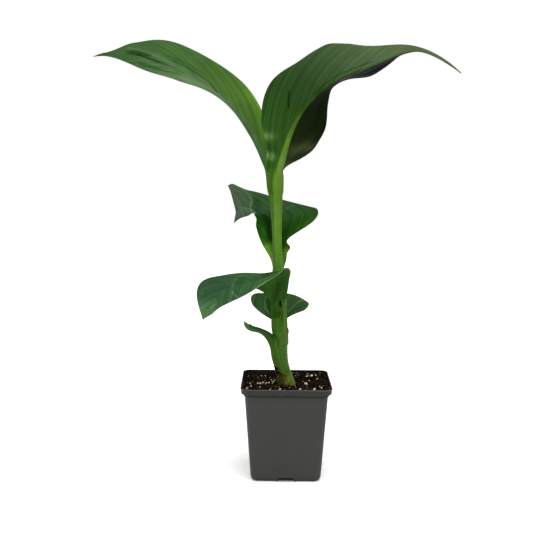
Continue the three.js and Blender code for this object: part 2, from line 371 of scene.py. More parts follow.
soil = dict(top=87.2, half=41.4, corner=7, roundShare=0.45, foot=1.8, footHalf=31.5, neck=84.6, neckHalf=37.6,
            ringGap=0.8, sideSteps=80, cornerSteps=8, backRise=0.04, sideRise=0.008,
            dip=2.2, dipAt=(2, -5), dipSpread=9, lumpSizes=(13, 6, 2.6, 1.3), lumpHeights=(1.4, 1.5, 1.3, 0.8),
            lumpShift=90, seed=4, dark="#050403", colour="#130e0a", fibre="#24180f", crumbSize=1.6, patchSize=7)


def soilHeight(x, y):
    # level top with a slow rise to the back and right, a dip at the stem's foot, and lumps of falling size
    s = soil
    dipX, dipY = s["dipAt"]
    dip = s["dip"] * bell(np.hypot(x - dipX, y - dipY) / s["dipSpread"])
    height = s["top"] + s["backRise"] * y + s["sideRise"] * x - dip
    for k, (size, tall) in enumerate(zip(s["lumpSizes"], s["lumpHeights"])):
        height = height + tall * (lumps(x + s["lumpShift"], y + s["lumpShift"], size, s["seed"] + k) - 0.5)
    return height


def makeSoil(s, material):
    half = np.append(np.arange(s["ringGap"], s["half"], s["ringGap"]), [s["half"], s["neckHalf"], s["footHalf"]])
    corner = np.minimum(half * s["roundShare"], s["corner"])
    ring, _ = squareRings(half[:, None], corner[:, None], np.linspace(-1, 1, s["sideSteps"]), s["cornerSteps"])
    height = soilHeight(ring[..., 0], ring[..., 1])
    height[-2:] = [[s["neck"]], [s["foot"]]]
    points = np.dstack([ring, height])
    count, around = points.shape[:2]
    faces = [f[::-1] for f in wrapFaces(count, around) + endCaps(count, around)]
    makePiece("potting_mix", points, faces, material, ["soil"], crease=180)


def soilMix(s):
    # moist peat and composted bark: nearly black, crumbly, with browner fibres
    material, place = newMaterial("moist potting mix")
    crumb = pattern(material, place, s["crumbSize"] * mm, 0.0, 1.0, 6.0)
    fibre = pattern(material, place, s["patchSize"] * mm, -0.6, 0.8)
    brown = addNode(material, "Mix", {0: crumb, 6: toLinear(s["dark"]), 7: toLinear(s["colour"])}, data_type="RGBA")
    base = addNode(material, "Mix", {0: fibre, 6: brown.outputs[2], 7: toLinear(s["fibre"])}, data_type="RGBA")
    rough = pattern(material, place, s["crumbSize"] * mm, 0.75, 1.0, 6.0)
    bump = addNode(material, "Bump", {"Height": crumb, "Distance": 0.6 * mm, "Strength": 0.9})
    return finishMaterial(material, Base_Color=base.outputs[2], Roughness=rough, Normal=bump.outputs[0],
                          IOR=1.4, Specular_IOR_Level=0.05)


makeSoil(soil, soilMix(soil))


# Stem: oval sections up a leaning line, with overlapping sheaths as raised layers

stem = dict(foot=80, fork=293, stationFoot=83.4, stationFork=289,
            lean=[3.6, -4.1, -5.8, -6.6, -7.2, -7.9, -9.2, -9.8, -10.9, -12.3],
            halfWidth=[7.6, 7.2, 7.6, 7.6, 6.9, 5.7, 4.8, 5.2, 6.8, 8.6],
            halfDepth=[7, 6.6, 6.8, 6.8, 6.2, 5.2, 4.6, 4.6, 5, 5.4],
            rowGap=0.8, cols=144, crown=5, skin=0.5, edgeTurn=5, edgeHighlightSpread=3, fadeTurn=50, endFade=2,
            layerShare=0.85, edgeHighlightShare=0.6, footFlare=2.4, flareTop=82, flareFade=9,
            streakSize=1.4, streakStretch=0.05, patchSize=9,
            tints=["#5e7a2e", "#3e6a16", "#3c6a16", "#4a741c", "#507620", "#567626"])
# each sheath: angle of its free edge from the bottom to the top of its run, the turn it covers, its height range
# line: a paler line along each sheath's free edge, the margin's own colour with a painted highlight
sheaths = [dict(edge=[240, 236, 246, 262, 268], cover=170, run=(196, 320), thick=0.5, tint="#345216", line="#5f8030"),
           dict(edge=[330, 322, 312, 306], cover=300, run=(60, 170), thick=0.45, tint="#3b5d1d", line="#6a8a3e"),
           dict(edge=[20, 30, 25, 10], cover=120, run=(126, 141.5), thick=1.0, tint="#46601f", line="#6b6a2c"),
           dict(edge=[296, 284, 262, 236], cover=130, run=(60, 126), thick=0.6, tint="#3d5f20", line="#557733")]
# stains low on the stem, and one band of painted shade under the front leaf: height, angle, half height in mm, half
# turn in degrees, how far the skin stands out or sinks, colour, share, raggedness
spotShape = dict(reach=1.2, rim=(0.1, 0.35), grain=11, stretch=6, seed=50)
stainsAndShades = [dict(z=101.5, angle=212, tall=1.8, turn=24, thick=-0.3, tint="#0d0d08", share=1.0, ragged=0.7),
          dict(z=96.5, angle=222, tall=3.2, turn=26, thick=-0.3, tint="#0b0a06", share=1.0, ragged=0.8),
          dict(z=95.5, angle=254, tall=1.6, turn=26, thick=-0.2, tint="#14110a", share=0.9, ragged=0.9),
          dict(z=91.5, angle=252, tall=6, turn=44, thick=0.9, tint="#433c19", share=0.95, ragged=0.5),
          dict(z=94, angle=266, tall=2.2, turn=16, thick=0, tint="#5c5424", share=0.6, ragged=0.9),
          dict(z=88, angle=298, tall=7, turn=38, thick=0, tint="#6f7a30", share=0.75, ragged=0.5),
          dict(z=90, angle=196, tall=7, turn=22, thick=0, tint="#3f4a1e", share=0.7, ragged=0.6),
          dict(z=136, angle=352, tall=3.5, turn=16, thick=0, tint="#5f6426", share=0.7, ragged=0.5),
          # painted shade: the dark band on the stem under the front leaf's funnel
          dict(z=157, angle=225, tall=7, turn=62, thick=0, tint="#1f450a", share=0.9, ragged=0.4)]


def stemLayers(z, angle):
    # how far the sheaths stand out, and the skin colour, at heights and angles in degrees
    s, shape = stem, spotShape
    z, angle = np.broadcast_arrays(np.asarray(z, float), np.asarray(angle, float))
    raised = np.zeros(z.shape)
    tint = tintAlong(s["tints"], (z - s["stationFoot"]) / (s["stationFork"] - s["stationFoot"]))
    for layer in sheaths:
        low, high = layer["run"]
        past = (along(layer["edge"], (z - low) / (high - low)) - angle) % 360      # turn inside the free edge
        inside = ease(0, s["edgeTurn"], past) * (1 - ease(layer["cover"] - s["fadeTurn"], layer["cover"], past))
        inside = inside * ease(low - s["endFade"], low, z) * (1 - ease(high - s["endFade"], high, z))
        raised = raised + layer["thick"] * inside
        tint = blend(tint, toLinear(layer["tint"]), s["layerShare"] * inside)
        # paler line along the free edge: margin colour with a painted highlight
        edge = s["edgeHighlightShare"] * bell(past / s["edgeHighlightSpread"]) * (z > low) * (z < high)
        tint = blend(tint, toLinear(layer["line"]), edge)
    for k, stainAndShade in enumerate(stainsAndShades):
        turn = (angle - stainAndShade["angle"] + 180) % 360 - 180
        spot = shape["reach"] - np.hypot((z - stainAndShade["z"]) / stainAndShade["tall"], turn / stainAndShade["turn"])
        fray = lumps(angle % 360, z * shape["stretch"], shape["grain"], shape["seed"] + k) - 0.5
        spot = ease(*shape["rim"], spot + stainAndShade["ragged"] * fray)
        tint = blend(tint, toLinear(stainAndShade["tint"]), stainAndShade["share"] * spot)
        raised = raised + stainAndShade["thick"] * spot
    return raised, tint


def stemSurface(z, angle, lift):
    # points on the stem's oval at heights and angles, moved outwards by the lift; the foot flares to the left
    s = stem
    t = (z - s["stationFoot"]) / (s["stationFork"] - s["stationFoot"])
    turn = np.radians(angle)
    flare = s["footFlare"] * bell((z - s["flareTop"]) / s["flareFade"])
    wide = along(s["halfWidth"], t) + flare - s["skin"] + lift
    deep = along(s["halfDepth"], t) - s["skin"] + lift
    x = along(s["lean"], t) - flare + wide * np.cos(turn)
    return np.stack(np.broadcast_arrays(x, deep * np.sin(turn), z), -1)


def makeStem(s, material):
    z = np.arange(s["foot"], s["fork"], s["rowGap"])[:, None]
    angle = np.arange(0, 360, 360 / s["cols"])[None, :]
    raised, tint = stemLayers(z, angle)
    crown = -s["crown"] * ease(s["fork"] - s["crown"], s["fork"], z)      # the top rounds off inside the leaf bases
    points = stemSurface(z, angle, raised + crown)
    count, around = points.shape[:2]
    faces = wrapFaces(count, around) + endCaps(count, around)
    makePiece("sheathed_stem", points, faces, material, ["stem"], dict(tint=tint), crease=70)


def stemSkin(s):
    # fresh sheath tissue: smooth and a little waxy, with fine long ribs and paler streaks
    material, place = newMaterial("fresh sheath tissue")
    tint = addNode(material, "Attribute", attribute_name="tint")
    stretch = addNode(material, "Mapping", {"Vector": place, "Scale": (1, 1, s["streakStretch"])})
    streak = pattern(material, stretch.outputs[0], s["streakSize"] * mm, 0.84, 1.14)
    patch = pattern(material, place, s["patchSize"] * mm, 0.9, 1.08)
    rough = pattern(material, place, s["patchSize"] * mm, 0.4, 0.55)
    bump = addNode(material, "Bump", {"Height": streak, "Distance": 0.5 * mm, "Strength": 0.4})
    return finishMaterial(material, Base_Color=shaded(material, tint.outputs["Color"], streak, patch),
                          Roughness=rough, Normal=bump.outputs[0], IOR=1.4, Specular_IOR_Level=0.12)


makeStem(stem, stemSkin(stem))


# Grains on the soil: small balls with dented sides, flattened and turned at random, all in one mesh

grainShape = dict(edgeClear=2.5, stemClear=1.5, long=(1, 0.4), wide=(0.8, 0.3), tilt=0.6)
# seen: grains that show in the photograph, as x, y and size
perlite = dict(name="perlite_grains", count=80, seed=11, size=(0.3, 0.8), flat=0.75, dent=0.35, sink=0.25,
               colours=("#e8e0c0", "#f0e6bc", "#cfc49a"),
               seen=[(-35, -4, 1.0), (-27, -5, 1.1), (-24.5, -6.5, 1.1), (-22, -4.5, 1.2), (-19, -6, 1.3),
                     (-16.5, -4, 1.0), (-12.5, -1, 1.2), (-11, 3, 0.9), (-25, -19, 0.8), (-37, -26, 0.9),
                     (-15, -27, 1.0), (-6, -27, 1.2), (-2, -28, 0.9), (13, -28, 1.2), (23, -28, 1.0), (26, -28, 1.3),
                     (33, -22, 0.9), (21, 15, 1.5), (26, 20, 1.2), (12, 0, 1.1), (19, -8, 1.5), (31, 10, 0.9)])
bark = dict(name="bark_chips", count=170, seed=23, size=(0.7, 2.2), flat=0.35, dent=0.35, sink=0.25,
            colours=("#3a2415", "#1b100a", "#4a3622", "#0b0705"), seen=[])
crumbs = dict(name="soil_crumbs", count=900, seed=37, size=(0.35, 1.2), flat=0.8, dent=0.35, sink=0.2,
              colours=("#0a0806", "#16110c", "#2a2017", "#463828"), seen=[])


def turned(a, b, angle):
    # two coordinates of each grain turned by its angle
    c, s = np.cos(angle)[:, None], np.sin(angle)[:, None]
    return a * c - b * s, a * s + b * c


def makeGrains(g, material):
    # each grain: unit ball on a small grid, each corner pushed in or out, scaled, turned, set on the soil
    rand, form = np.random.RandomState(g["seed"]), grainShape
    reach = soil["half"] - form["edgeClear"]
    spots = rand.uniform(-reach, reach, (g["count"], 2))
    sizes = g["size"][0] + (g["size"][1] - g["size"][0]) * rand.rand(g["count"]) ** 2
    if g["seen"]:
        shown = np.array(g["seen"])
        spots, sizes = np.vstack([shown[:, :2], spots]), np.append(shown[:, 2], sizes)
    keep = np.hypot(spots[:, 0] - stem["lean"][0], spots[:, 1]) > stem["halfWidth"][0] + form["stemClear"]
    spots, sizes = spots[keep], sizes[keep]
    count = len(spots)
    lat, lon = np.radians([-90, -45, 0, 45, 90]), np.radians(np.arange(0, 360, 60))
    ball = np.stack(np.broadcast_arrays(np.cos(lat)[:, None] * np.cos(lon), np.cos(lat)[:, None] * np.sin(lon),
                                        np.sin(lat)[:, None]), -1).reshape(-1, 3)
    dented = ball[None] * (1 + g["dent"] * rand.uniform(-1, 1, (count, len(ball), 1)))
    for pole in (slice(len(lon)), slice(-len(lon), None)):
        dented[:, pole] = dented[:, pole].mean(1, keepdims=True)
    spread = [least + more * rand.rand(count) for least, more in (form["long"], form["wide"])]
    shape = dented * np.stack(spread + [np.full(count, g["flat"])], -1)[:, None]
    tilt, spin = rand.uniform(-form["tilt"], form["tilt"], count), rand.uniform(0, 2 * np.pi, count)
    x, y, z = shape[..., 0], shape[..., 1], shape[..., 2]
    x, z = turned(x, z, tilt)
    x, y = turned(x, y, spin)
    rest = soilHeight(spots[:, 0], spots[:, 1]) + sizes * (g["flat"] - g["sink"])
    centre = np.stack([spots[:, 0], spots[:, 1], rest], -1)
    points = centre[:, None] + np.stack([x, y, z], -1) * sizes[:, None, None]
    one = np.array(wrapFaces(len(lat), len(lon)))
    faces = (one[None] + np.arange(count)[:, None, None] * len(ball)).reshape(-1, 4).tolist()
    paints = np.array([toLinear(c) for c in g["colours"]])[rand.randint(len(g["colours"]), size=count)]
    tint = np.repeat(paints[:, None], len(ball), 1)
    makePiece(g["name"], points, faces, material, values=dict(tint=tint), crease=40)


def grainFinish(name, roughness, poreSize):
    # mineral and bark bits: each grain has its own tone, with fine pits that catch the light
    material, place = newMaterial(name)
    tint = addNode(material, "Attribute", attribute_name="tint")
    pits = pattern(material, place, poreSize * mm, 0.6, 1.1)
    bump = addNode(material, "Bump", {"Height": pits, "Distance": 0.3 * mm, "Strength": 0.7})
    return finishMaterial(material, Base_Color=shaded(material, tint.outputs["Color"], pits), Roughness=roughness,
                          Normal=bump.outputs[0], Specular_IOR_Level=0.05)


makeGrains(crumbs, grainFinish("soil crumbs", 0.95, 0.5))
makeGrains(bark, grainFinish("composted bark", 0.85, 0.6))
makeGrains(perlite, grainFinish("expanded perlite", 0.9, 0.5))


# Leaves: a rib with a heading and a slope, and two half blades that leave it at a fold and curl outwards.
# Each leaf grows out of a sheath that lies on the stem. Places on a leaf are (share of the length, share of
# the half width), the left half negative

leafMesh = dict(rowGap=0.7, halfCols=44, crowding=1 / 1.5, tipHalf=0.5, flatCurl=0.01,
                blade=0.25, margin=0.1, thinning=6, groove=0.25, lift=0.4, sink=0.9, fade=9, peel=(-18, 2),
                veinBow=0.012, veinShift=400, sideShift=40, fineGap=3, laneStretch=0.05, cloudSize=22,
                pleatGap=11, pleatStretch=9, pleatSeed=71, pleatRib=(0.5, 5), pleatEdge=3,
                halfBlend=0.06, ribSoft=(0.6, 1.15), edgeWidth=0.9, edgeFade=0.04)
# creases that stand out of the blade; their paint in the marks below is painted highlight on ridges and painted shade
# in furrows
topLeftSlit = [(0.84, 0.12), (0.79, 0.02), (0.73, -0.16), (0.68, -0.25), (0.64, -0.27)]
topLeftRidge = [(0.85, 0.43), (0.75, 0.11), (0.69, 0.05), (0.63, -0.07)]
topLeftHem = [(0.73, -0.77), (0.67, -0.75), (0.59, -0.73), (0.54, -0.55)]
middleCrease = [(0.686, 0.89), (0.653, 0.68), (0.642, 0.43), (0.655, -0.2), (0.697, -0.82)]
frontCrease = [(0.453, 0.80), (0.51, 0.58), (0.562, 0.32), (0.61, 0.08), (0.665, -0.15)]
# swells: place along the leaf, millimetres added to the half width, spread. folds: path, width, height.
# edge: colour, start and end of each half's painted margin. marks: path, width in millimetres, colour, share
leaves = {
    "leaf_top_left": dict(
        replaced=["leaf_top_left_base", "leaf_top_left_tip"], base=(-17.8, 5, 284), length=260,
        sheath=dict(angle=147, wrap=((95, 95), (80, 80)), run=20, join=(-8, 18)),
        turn=[147, 152, 157, 161], climb=[69, 55, 39, 26, 8, -3],
        leftWidth=[2, 4, 10, 28, 36, 36, 22, 0], rightWidth=[4, 9, 17, 28, 32, 30, 25, 0],
        leftFold=[22, 35, 6, -13, 4], rightFold=[53, 48, 44, 55, 41], leftCurl=-33, rightCurl=-13,
        swells=dict(left=[(0.15, -5, 0.1), (0.29, -10, 0.08), (0.43, 3.6, 0.05)],
                    right=[(0.27, -1.5, 0.08), (0.5, 0.5, 0.1), (0.875, 3.4, 0.035), (0.975, 2.2, 0.018)]),
        ribWidth=[3.5, 2.4, 1.6, 1, 0.5], ribHeight=[1, 0.5, 0.4, 0.3, 0.2], ribBand=[4, 5, 3.5, 1.5, 0.5],
        lean=3.0, pleat=0.7,
        folds=[(topLeftSlit, 2.4, -1.2), (topLeftRidge, 2.2, 0.8), (topLeftHem, 2.4, -0.8)],
        # the left half's greyer middle colours are painted sheen
        upper=(["#2c4a20", "#36582a", "#4e6842", "#48603a", "#3a5530", "#304e28", "#284622"],
               ["#324f1e", "#3f5d21", "#375529", "#304a29"]),
        under=(["#4d6f3f", "#4a683f"], ["#476d2a", "#47663a"]),
        rib=["#3a5c30", "#456340", "#4a6444", "#3c5634", "#28421e"], ribShare=(0.75, 0.9),
        edge=(None, ("#466a30", 0.0, 0.5)),
        upperMarks=[
            # painted highlight along the ridge
            (topLeftRidge + [(0.55, -0.25), (0.43, -0.7)], 3, "#4c6840", 0.55),
            # painted shade: three dark lines in the slit and the furrow beside the ridge
            (topLeftSlit, 3, "#16340e", 0.8),
            ([(0.80, 0.03), (0.73, -0.16), (0.68, -0.25)], 1.8, "#082104", 0.95),
            ([(0.87, 0.30), (0.80, 0.18), (0.74, 0.06)], 1.1, "#173a0e", 0.7),
            ([(0.957, 0), (1, 0)], 3, "#2c3204", 0.95),
            # painted shade: a dark line along the rib
            ([(0.64, 0.16), (0.55, 0.14), (0.48, 0.13), (0.40, 0.04)], 0.9, "#193a0c", 0.7),
            ([(0.70, 0.24), (0.60, 0.28), (0.50, 0.26)], 1.0, "#1c4010", 0.5),
            # painted shade in the hem's fold, then a pale streak of painted sheen and a dark furrow of painted shade
            (topLeftHem, 2.2, "#1e3c16", 0.75),
            ([(0.74, -0.55), (0.66, -0.58), (0.58, -0.5)], 1.3, "#4a6640", 0.5),
            ([(0.64, -0.4), (0.58, -0.36), (0.54, -0.34)], 1.2, "#28431f", 0.6),
            # a broad pale patch of painted sheen
            ([(0.50, -0.7), (0.44, -0.8), (0.40, -0.85)], 5, "#566d49", 0.6),
            ([(0.34, 0.92), (0.25, 0.92), (0.16, 0.95)], 5, "#46701a", 0.6)]),
    "leaf_top_right": dict(
        replaced=["leaf_top_right_base", "leaf_top_right_tip"], base=(-7, -5, 286), length=249,
        sheath=dict(angle=300, wrap=((100, 100), (75, 75)), run=22, join=(-8, 18)),
        turn=[-42, -44, -48, -55], climb=[83, 65, 41, 19, 10, 10.3, -24, -35],
        leftWidth=[2, 23, 26, 32, 36, 30, 12, 0], rightWidth=[8, 17, 28, 39, 36, 33, 12, 0],
        leftFold=[50, -27, 31, 18, 29, 8, -8], rightFold=[47, 45, 40, 20, 55], leftCurl=-22, rightCurl=-6,
        swells=dict(left=[(0.13, 2, 0.05), (0.24, 1.5, 0.05), (0.31, 1, 0.02), (0.355, -3.2, 0.025),
                          (0.6, 3.2, 0.05), (0.68, 1.2, 0.02), (0.79, -4, 0.06)],
                    right=[(0.02, 1.5, 0.03), (0.1, -4.4, 0.05), (0.38, -2.5, 0.06), (0.54, 1, 0.04),
                           (0.63, 1.2, 0.03), (0.72, -1.6, 0.06), (0.83, -1.8, 0.07)]),
        ribWidth=[4.5, 2.6, 1.7, 1.1, 0.9, 0.8, 0.7, 0.6, 0.5], ribHeight=[3, 2.2, 1.3, 0.8, 0.6, 0.5, 0.4, 0.3, 0.2],
        lean=2.6, pleat=0.9, folds=[],
        upper=(["#38592a"],) * 2,
        # the left half's underside is near-black, a dark bronze colour with painted shade; the right half turns grey
        # towards the tip as painted sheen
        under=(["#20240a", "#161f0b", "#0d1507", "#080906", "#080806", "#2a341a", "#465a2e"],
               ["#264c16", "#294919", "#244216", "#29411f", "#3a5030", "#455939", "#4b5c3a", "#4a5a36", "#4c5e34"]),
        rib=["#64843a", "#547424", "#304c16", "#22380e", "#22380e", "#2c4024", "#38492e", "#3f5034", "#465a2a"],
        ribShare=(0.2, 1.0), edge=(("#240a10", 0.0, 1.0), None),
        underMarks=[
            ([(0.295, 0.53), (0.27, 0.42), (0.247, 0.33)], 0.7, "#080f05", 0.95),
            # painted highlights on two ripples across the right half near the base, with painted shade between and
            # below them
            ([(0.128, 1), (0.132, 0.75)], 2.8, "#587640", 0.9),
            ([(0.131, 0.8), (0.137, 0.5)], 2.4, "#40612a", 0.6),
            ([(0.067, 1), (0.066, 0.7)], 2.8, "#62804a", 0.9),
            ([(0.066, 0.75), (0.064, 0.45)], 2.4, "#40612a", 0.6),
            ([(0.097, 0.85), (0.097, 0.55)], 3, "#20430f", 0.45),
            ([(0.035, 0.8), (0.033, 0.5)], 3.5, "#1e440e", 0.5),
            ([(0.33, -0.2), (0.40, -0.35), (0.46, -0.35)], 3, "#1c1a17", 0.6),
            ([(0.34, 0.06), (0.47, 0.13), (0.63, 0.14)], 0.6, "#101c0a", 0.6),
            # painted light: an olive glow low on the left half where light comes through the blade
            ([(0.10, -0.35), (0.13, -0.75)], 6.5, "#3f4a28", 0.65),
            ([(0.31, -0.2), (0.36, -0.3), (0.42, -0.3), (0.5, -0.3), (0.6, -0.2)], 1.2, "#4a433a", 0.7),
            # painted shade: the dark gap under the rib where the left half folds under
            ([(0.31, -0.09), (0.36, -0.14), (0.42, -0.13), (0.5, -0.1), (0.6, -0.08)], 1.2, "#120c0b", 0.9),
            ([(0.50, -0.45), (0.56, -0.58), (0.62, -0.8)], 1.0, "#2a261d", 0.6)]),
    "leaf_middle": dict(
        replaced=["leaf_middle"], base=(-8.9, 7.8, 198.7), length=128,
        sheath=dict(angle=100, wrap=((95, 95), (100, 100)), run=13, join=(-6, 8)),
        turn=[114, 98, 96, 146, 204, 266, 246], climb=[91, 53, 23, 6, -76],
        leftWidth=[5, 7.5, 14.5, 19, 18, 20, 0], rightWidth=[6, 10, 13, 43, 37, 23, 0],
        leftFold=[23, 13, 3, -15], rightFold=[44, 26, 22, 58, 91], leftCurl=-35, rightCurl=0,
        swells=dict(left=[(0.28, 0.8, 0.15), (0.9, 3, 0.05)],
                    right=[(0.085, -0.5, 0.03), (0.135, 4.3, 0.028), (0.2, -2, 0.03), (0.28, 5, 0.05),
                           (0.41, 1.6, 0.025), (0.66, -1.4, 0.03), (0.73, 3, 0.03), (0.8, 2.6, 0.04),
                           (0.86, 3.5, 0.04), (0.91, -1.5, 0.02), (0.93, -8, 0.04), (0.96, -1, 0.02)]),
        ribWidth=[3, 2, 1.4, 1, 0.5], ribHeight=[1.4, 0.9, 0.6, 0.4, 0.2], lean=2.0, pleat=0.4,
        folds=[(middleCrease, 2, 0.9)],
        # the blade's middle colours are dark as painted shade, and the grey colours of the flap past the crease are
        # painted sheen
        upper=(["#5a7826", "#3a6418", "#1c4a08", "#164006", "#183c0c", "#2b4823", "#566c50", "#445842", "#3b4f38"],
               ["#52801e", "#2c5c0c", "#1c4208", "#204214", "#253e22", "#324e2c", "#5d7158", "#51654e", "#4c6048"]),
        under=(["#5d7c2c", "#4a6142"], ["#5d7c2c", "#556950"]),
        rib=["#44602c", "#2c4a24"], ribShare=(0.2, 0.7), edge=(None, None),
        upperMarks=[
            # painted highlight along the crease's ridge, then painted shade before the crease and across the flap
            (middleCrease, 0.9, "#62785a", 0.7),
            ([(0.61, 0.6), (0.6, 0.2), (0.6, -0.3)], 3, "#183a12", 0.6),
            ([(0.74, 0.6), (0.71, 0.3), (0.72, -0.1)], 2.5, "#344f2c", 0.5),
            ([(0.26, -0.6), (0.32, -0.62)], 2.2, "#2f5c22", 0.6),
            ([(0.0, -0.75), (0.08, -0.7), (0.15, -0.75)], 3.5, "#5a8a22", 0.85),
            ([(0.25, 0.85), (0.33, 0.92)], 3, "#2c5c14", 0.35),
            # painted shade on both sides of the stem
            ([(0.22, -0.35), (0.3, -0.4), (0.4, -0.38), (0.5, -0.25)], 4.5, "#061f02", 0.9),
            ([(0.34, 0.2), (0.22, 0.4), (0.17, 0.6)], 4, "#143c0a", 0.65),
            ([(0.02, 0.9), (0.07, 0.8), (0.11, 0.8)], 3, "#668a2a", 0.8),
            # painted highlight on the left sheath margin
            ([(0.03, -0.8), (0.1, -0.75)], 1.5, "#789636", 0.6),
            ([(0.482, 0.45), (0.483, 0.90)], 0.6, "#3c5a36", 0.35)]),
    "leaf_front": dict(
        replaced=["leaf_front_base", "leaf_front_tip"], base=(-14.3, -12, 160), length=121.2,
        sheath=dict(angle=205, wrap=((145, 140), (40, 40)), run=27, join=(-6, 8)),
        turn=[-85, -128, -133, -131], climb=[48, 28, 9, -27, -63],
        leftWidth=[12, 13, 24, 36.5, 32, 17, 0], rightWidth=[6, 17, 31, 17, 22, 25, 0],
        leftFold=[12, 57, 23, -7, -27], rightFold=[98, 110, 24, 10, 6], leftCurl=-15, rightCurl=8,
        swells=dict(left=[(0.16, -1.2, 0.05), (0.245, 1.5, 0.03), (0.345, -3.8, 0.05), (0.7, 1, 0.08),
                          (0.94, 1.5, 0.04)],
                    right=[(0.3, -1.5, 0.25), (0.42, -1.1, 0.1)]),
        ribWidth=[3, 2, 1.4, 1, 0.5], ribHeight=[1.0, 0.8, 0.6, 0.4, 0.2], lean=1.6, pleat=0.35,
        folds=[(frontCrease, 1.6, 0.4)],
        upper=(["#345426", "#36572b", "#35562e", "#31502c", "#2a492a", "#2b4a2b", "#46643c"],
               # the right half is lighter near the base: painted light on the part that lies in shade under its steep
               # fold
               ["#406436", "#3e6335", "#395e34", "#2f502f", "#29432b", "#2b482d", "#46643c"]),
        under=(["#2a4c16", "#224011", "#1c3a0d"],) * 2,
        rib=["#264818", "#2a4c24"], ribShare=(0.3, 0.3), edge=(("#6c8653", 0.24, 0.62), None),
        upperMarks=[
            # painted highlight along the crease's ridge, and painted shade beside it
            (frontCrease, 0.6, "#46684a", 0.6),
            ([(0.47, 0.5), (0.55, 0.1), (0.6, -0.2)], 3, "#1c4022", 0.5),
            ([(0.705, -0.40), (0.728, -0.60)], 0.5, "#5c7a58", 0.7),
            ([(0.728, -0.72), (0.738, -0.92)], 0.6, "#5c7a58", 0.7),
            ([(0.690, -0.73), (0.618, -0.45), (0.575, -0.38)], 0.5, "#3e6040", 0.6),
            ([(0.805, 0.73), (0.815, 0.72)], 0.8, "#4a6a44", 0.5),
            ([(0.825, -0.15), (0.845, -0.36), (0.865, -0.53)], 0.6, "#4f7046", 0.6),
            ([(0.925, -0.22), (0.89, -0.36), (0.858, -0.47)], 0.6, "#4f7046", 0.6)],
        underMarks=[
            ([(0.22, -0.5), (0.16, -0.3), (0.12, -0.2)], 4, "#0c2f03", 0.7),
            ([(0.08, -0.76), (-0.01, -0.82), (-0.17, -0.7)], 0.8, "#5f763b", 0.8),
            ([(0.01, -0.64), (-0.03, -0.57), (-0.1, -0.57)], 0.9, "#33300f", 0.5),
            # a black spot for a small hole: painted shade in place of a cut
            ([(0.075, -0.66), (0.03, -0.64)], 1.4, "#080403", 1.0)]),
    "leaf_back": dict(
        replaced=["leaf_back"], base=(-6.7, 8.8, 145.8), length=56.5,
        sheath=dict(angle=71, wrap=((95, 95), (95, 95)), run=16, join=(-8, 3)),
        turn=[71, 60, 49, 40], climb=[20, 23, 21, 5, -24],
        leftWidth=[6, 20, 35, 39, 26, 15, 0], rightWidth=[6, 15, 22, 22, 20, 12, 0],
        leftFold=[12, 25, 29, 32], rightFold=[27, 12, 2, -9], leftCurl=0, rightCurl=0,
        swells=dict(right=[(0.2, 1.2, 0.15)]),
        ribWidth=[2, 1.4, 1, 0.8, 0.5], ribHeight=[1, 0.6, 0.4, 0.3, 0.2], lean=1.4, pleat=0.3,
        folds=[([(0.40, -0.73), (0.30, -0.58), (0.195, -0.55), (0.075, -0.55)], 1.6, 0.5)],
        upper=(["#284620", "#32512a", "#3a582c"], ["#2c4c20", "#2f4c27", "#2c4a24"]),
        under=(["#3c5f26", "#48603e"],) * 2,
        rib=["#3c5f26", "#48603e"], ribShare=(0.3, 0.9), edge=(("#4c6440", 0.0, 1.0), ("#425c38", 0.0, 1.0)),
        upperMarks=[
            ([(0.30, 0.14), (0.395, 0.12), (0.60, 0.10), (0.79, -0.14), (0.863, -0.22)], 0.5, "#6c8458", 0.75),
            # painted highlight along the fold's ridge, then painted shade between it and the stem
            ([(0.41, -0.75), (0.29, -0.59), (0.185, -0.55), (0.1, -0.48)], 0.8, "#5a7452", 0.8),
            ([(0.36, -0.6), (0.25, -0.42), (0.1, -0.4)], 3, "#1c3a16", 0.6)]),
    "leaf_side": dict(
        replaced=["leaf_side"], base=(-14.6, -1.9, 121.8), length=39.7,
        sheath=dict(angle=191, wrap=((100, 60), (75, 65)), run=32, join=(-12, 6), swell=2.6, late=9),
        turn=[191, 184, 183, 180], climb=[66, 60, 36, 9, 41, 100],
        leftWidth=[10, 13, 9.5, 6.4, 7, 1], rightWidth=[4, 5, 5, 4.2, 4, 0.5],
        leftFold=[45, 60, 58, 60], rightFold=[41, 45, 43, 42], leftCurl=-12, rightCurl=-14,
        swells=dict(left=[(0.84, 3, 0.09), (0.94, 1.8, 0.04)]),
        ribWidth=[1.6, 1.2, 1, 0.8, 0.5], ribHeight=[0.7, 0.5, 0.4, 0.3, 0.2], lean=3, pleat=0.25, folds=[],
        upper=(["#3d5f20", "#2f4a1c", "#34501f"], ["#35551e", "#375626", "#3f5f2c"]),
        under=(["#355a16", "#2c4a1a", "#3a5430", "#465f3c"], ["#3d5f20", "#34521e"]),
        rib=["#3d5f20", "#44642e"], ribShare=(0.2, 0.4), edge=(None, None),
        underMarks=[
            ([(0.2, -0.8), (0.5, -0.75), (0.85, -0.75)], 1.6, "#1c3810", 0.8),
            ([(0.3, -0.25), (0.6, -0.2), (0.95, -0.2)], 1.0, "#3e5c2a", 0.6)]),
}


def halfWidth(leaf, side, t):
    # width stations of one half blade, then its swells
    width = along(leaf[side + "Width"], np.clip(t, 0, 1) ** leafMesh["crowding"])
    for place, added, spread in leaf["swells"].get(side, []):
        width = width + added * bell((t - place) / spread)
    return np.maximum(width, leafMesh["tipHalf"])


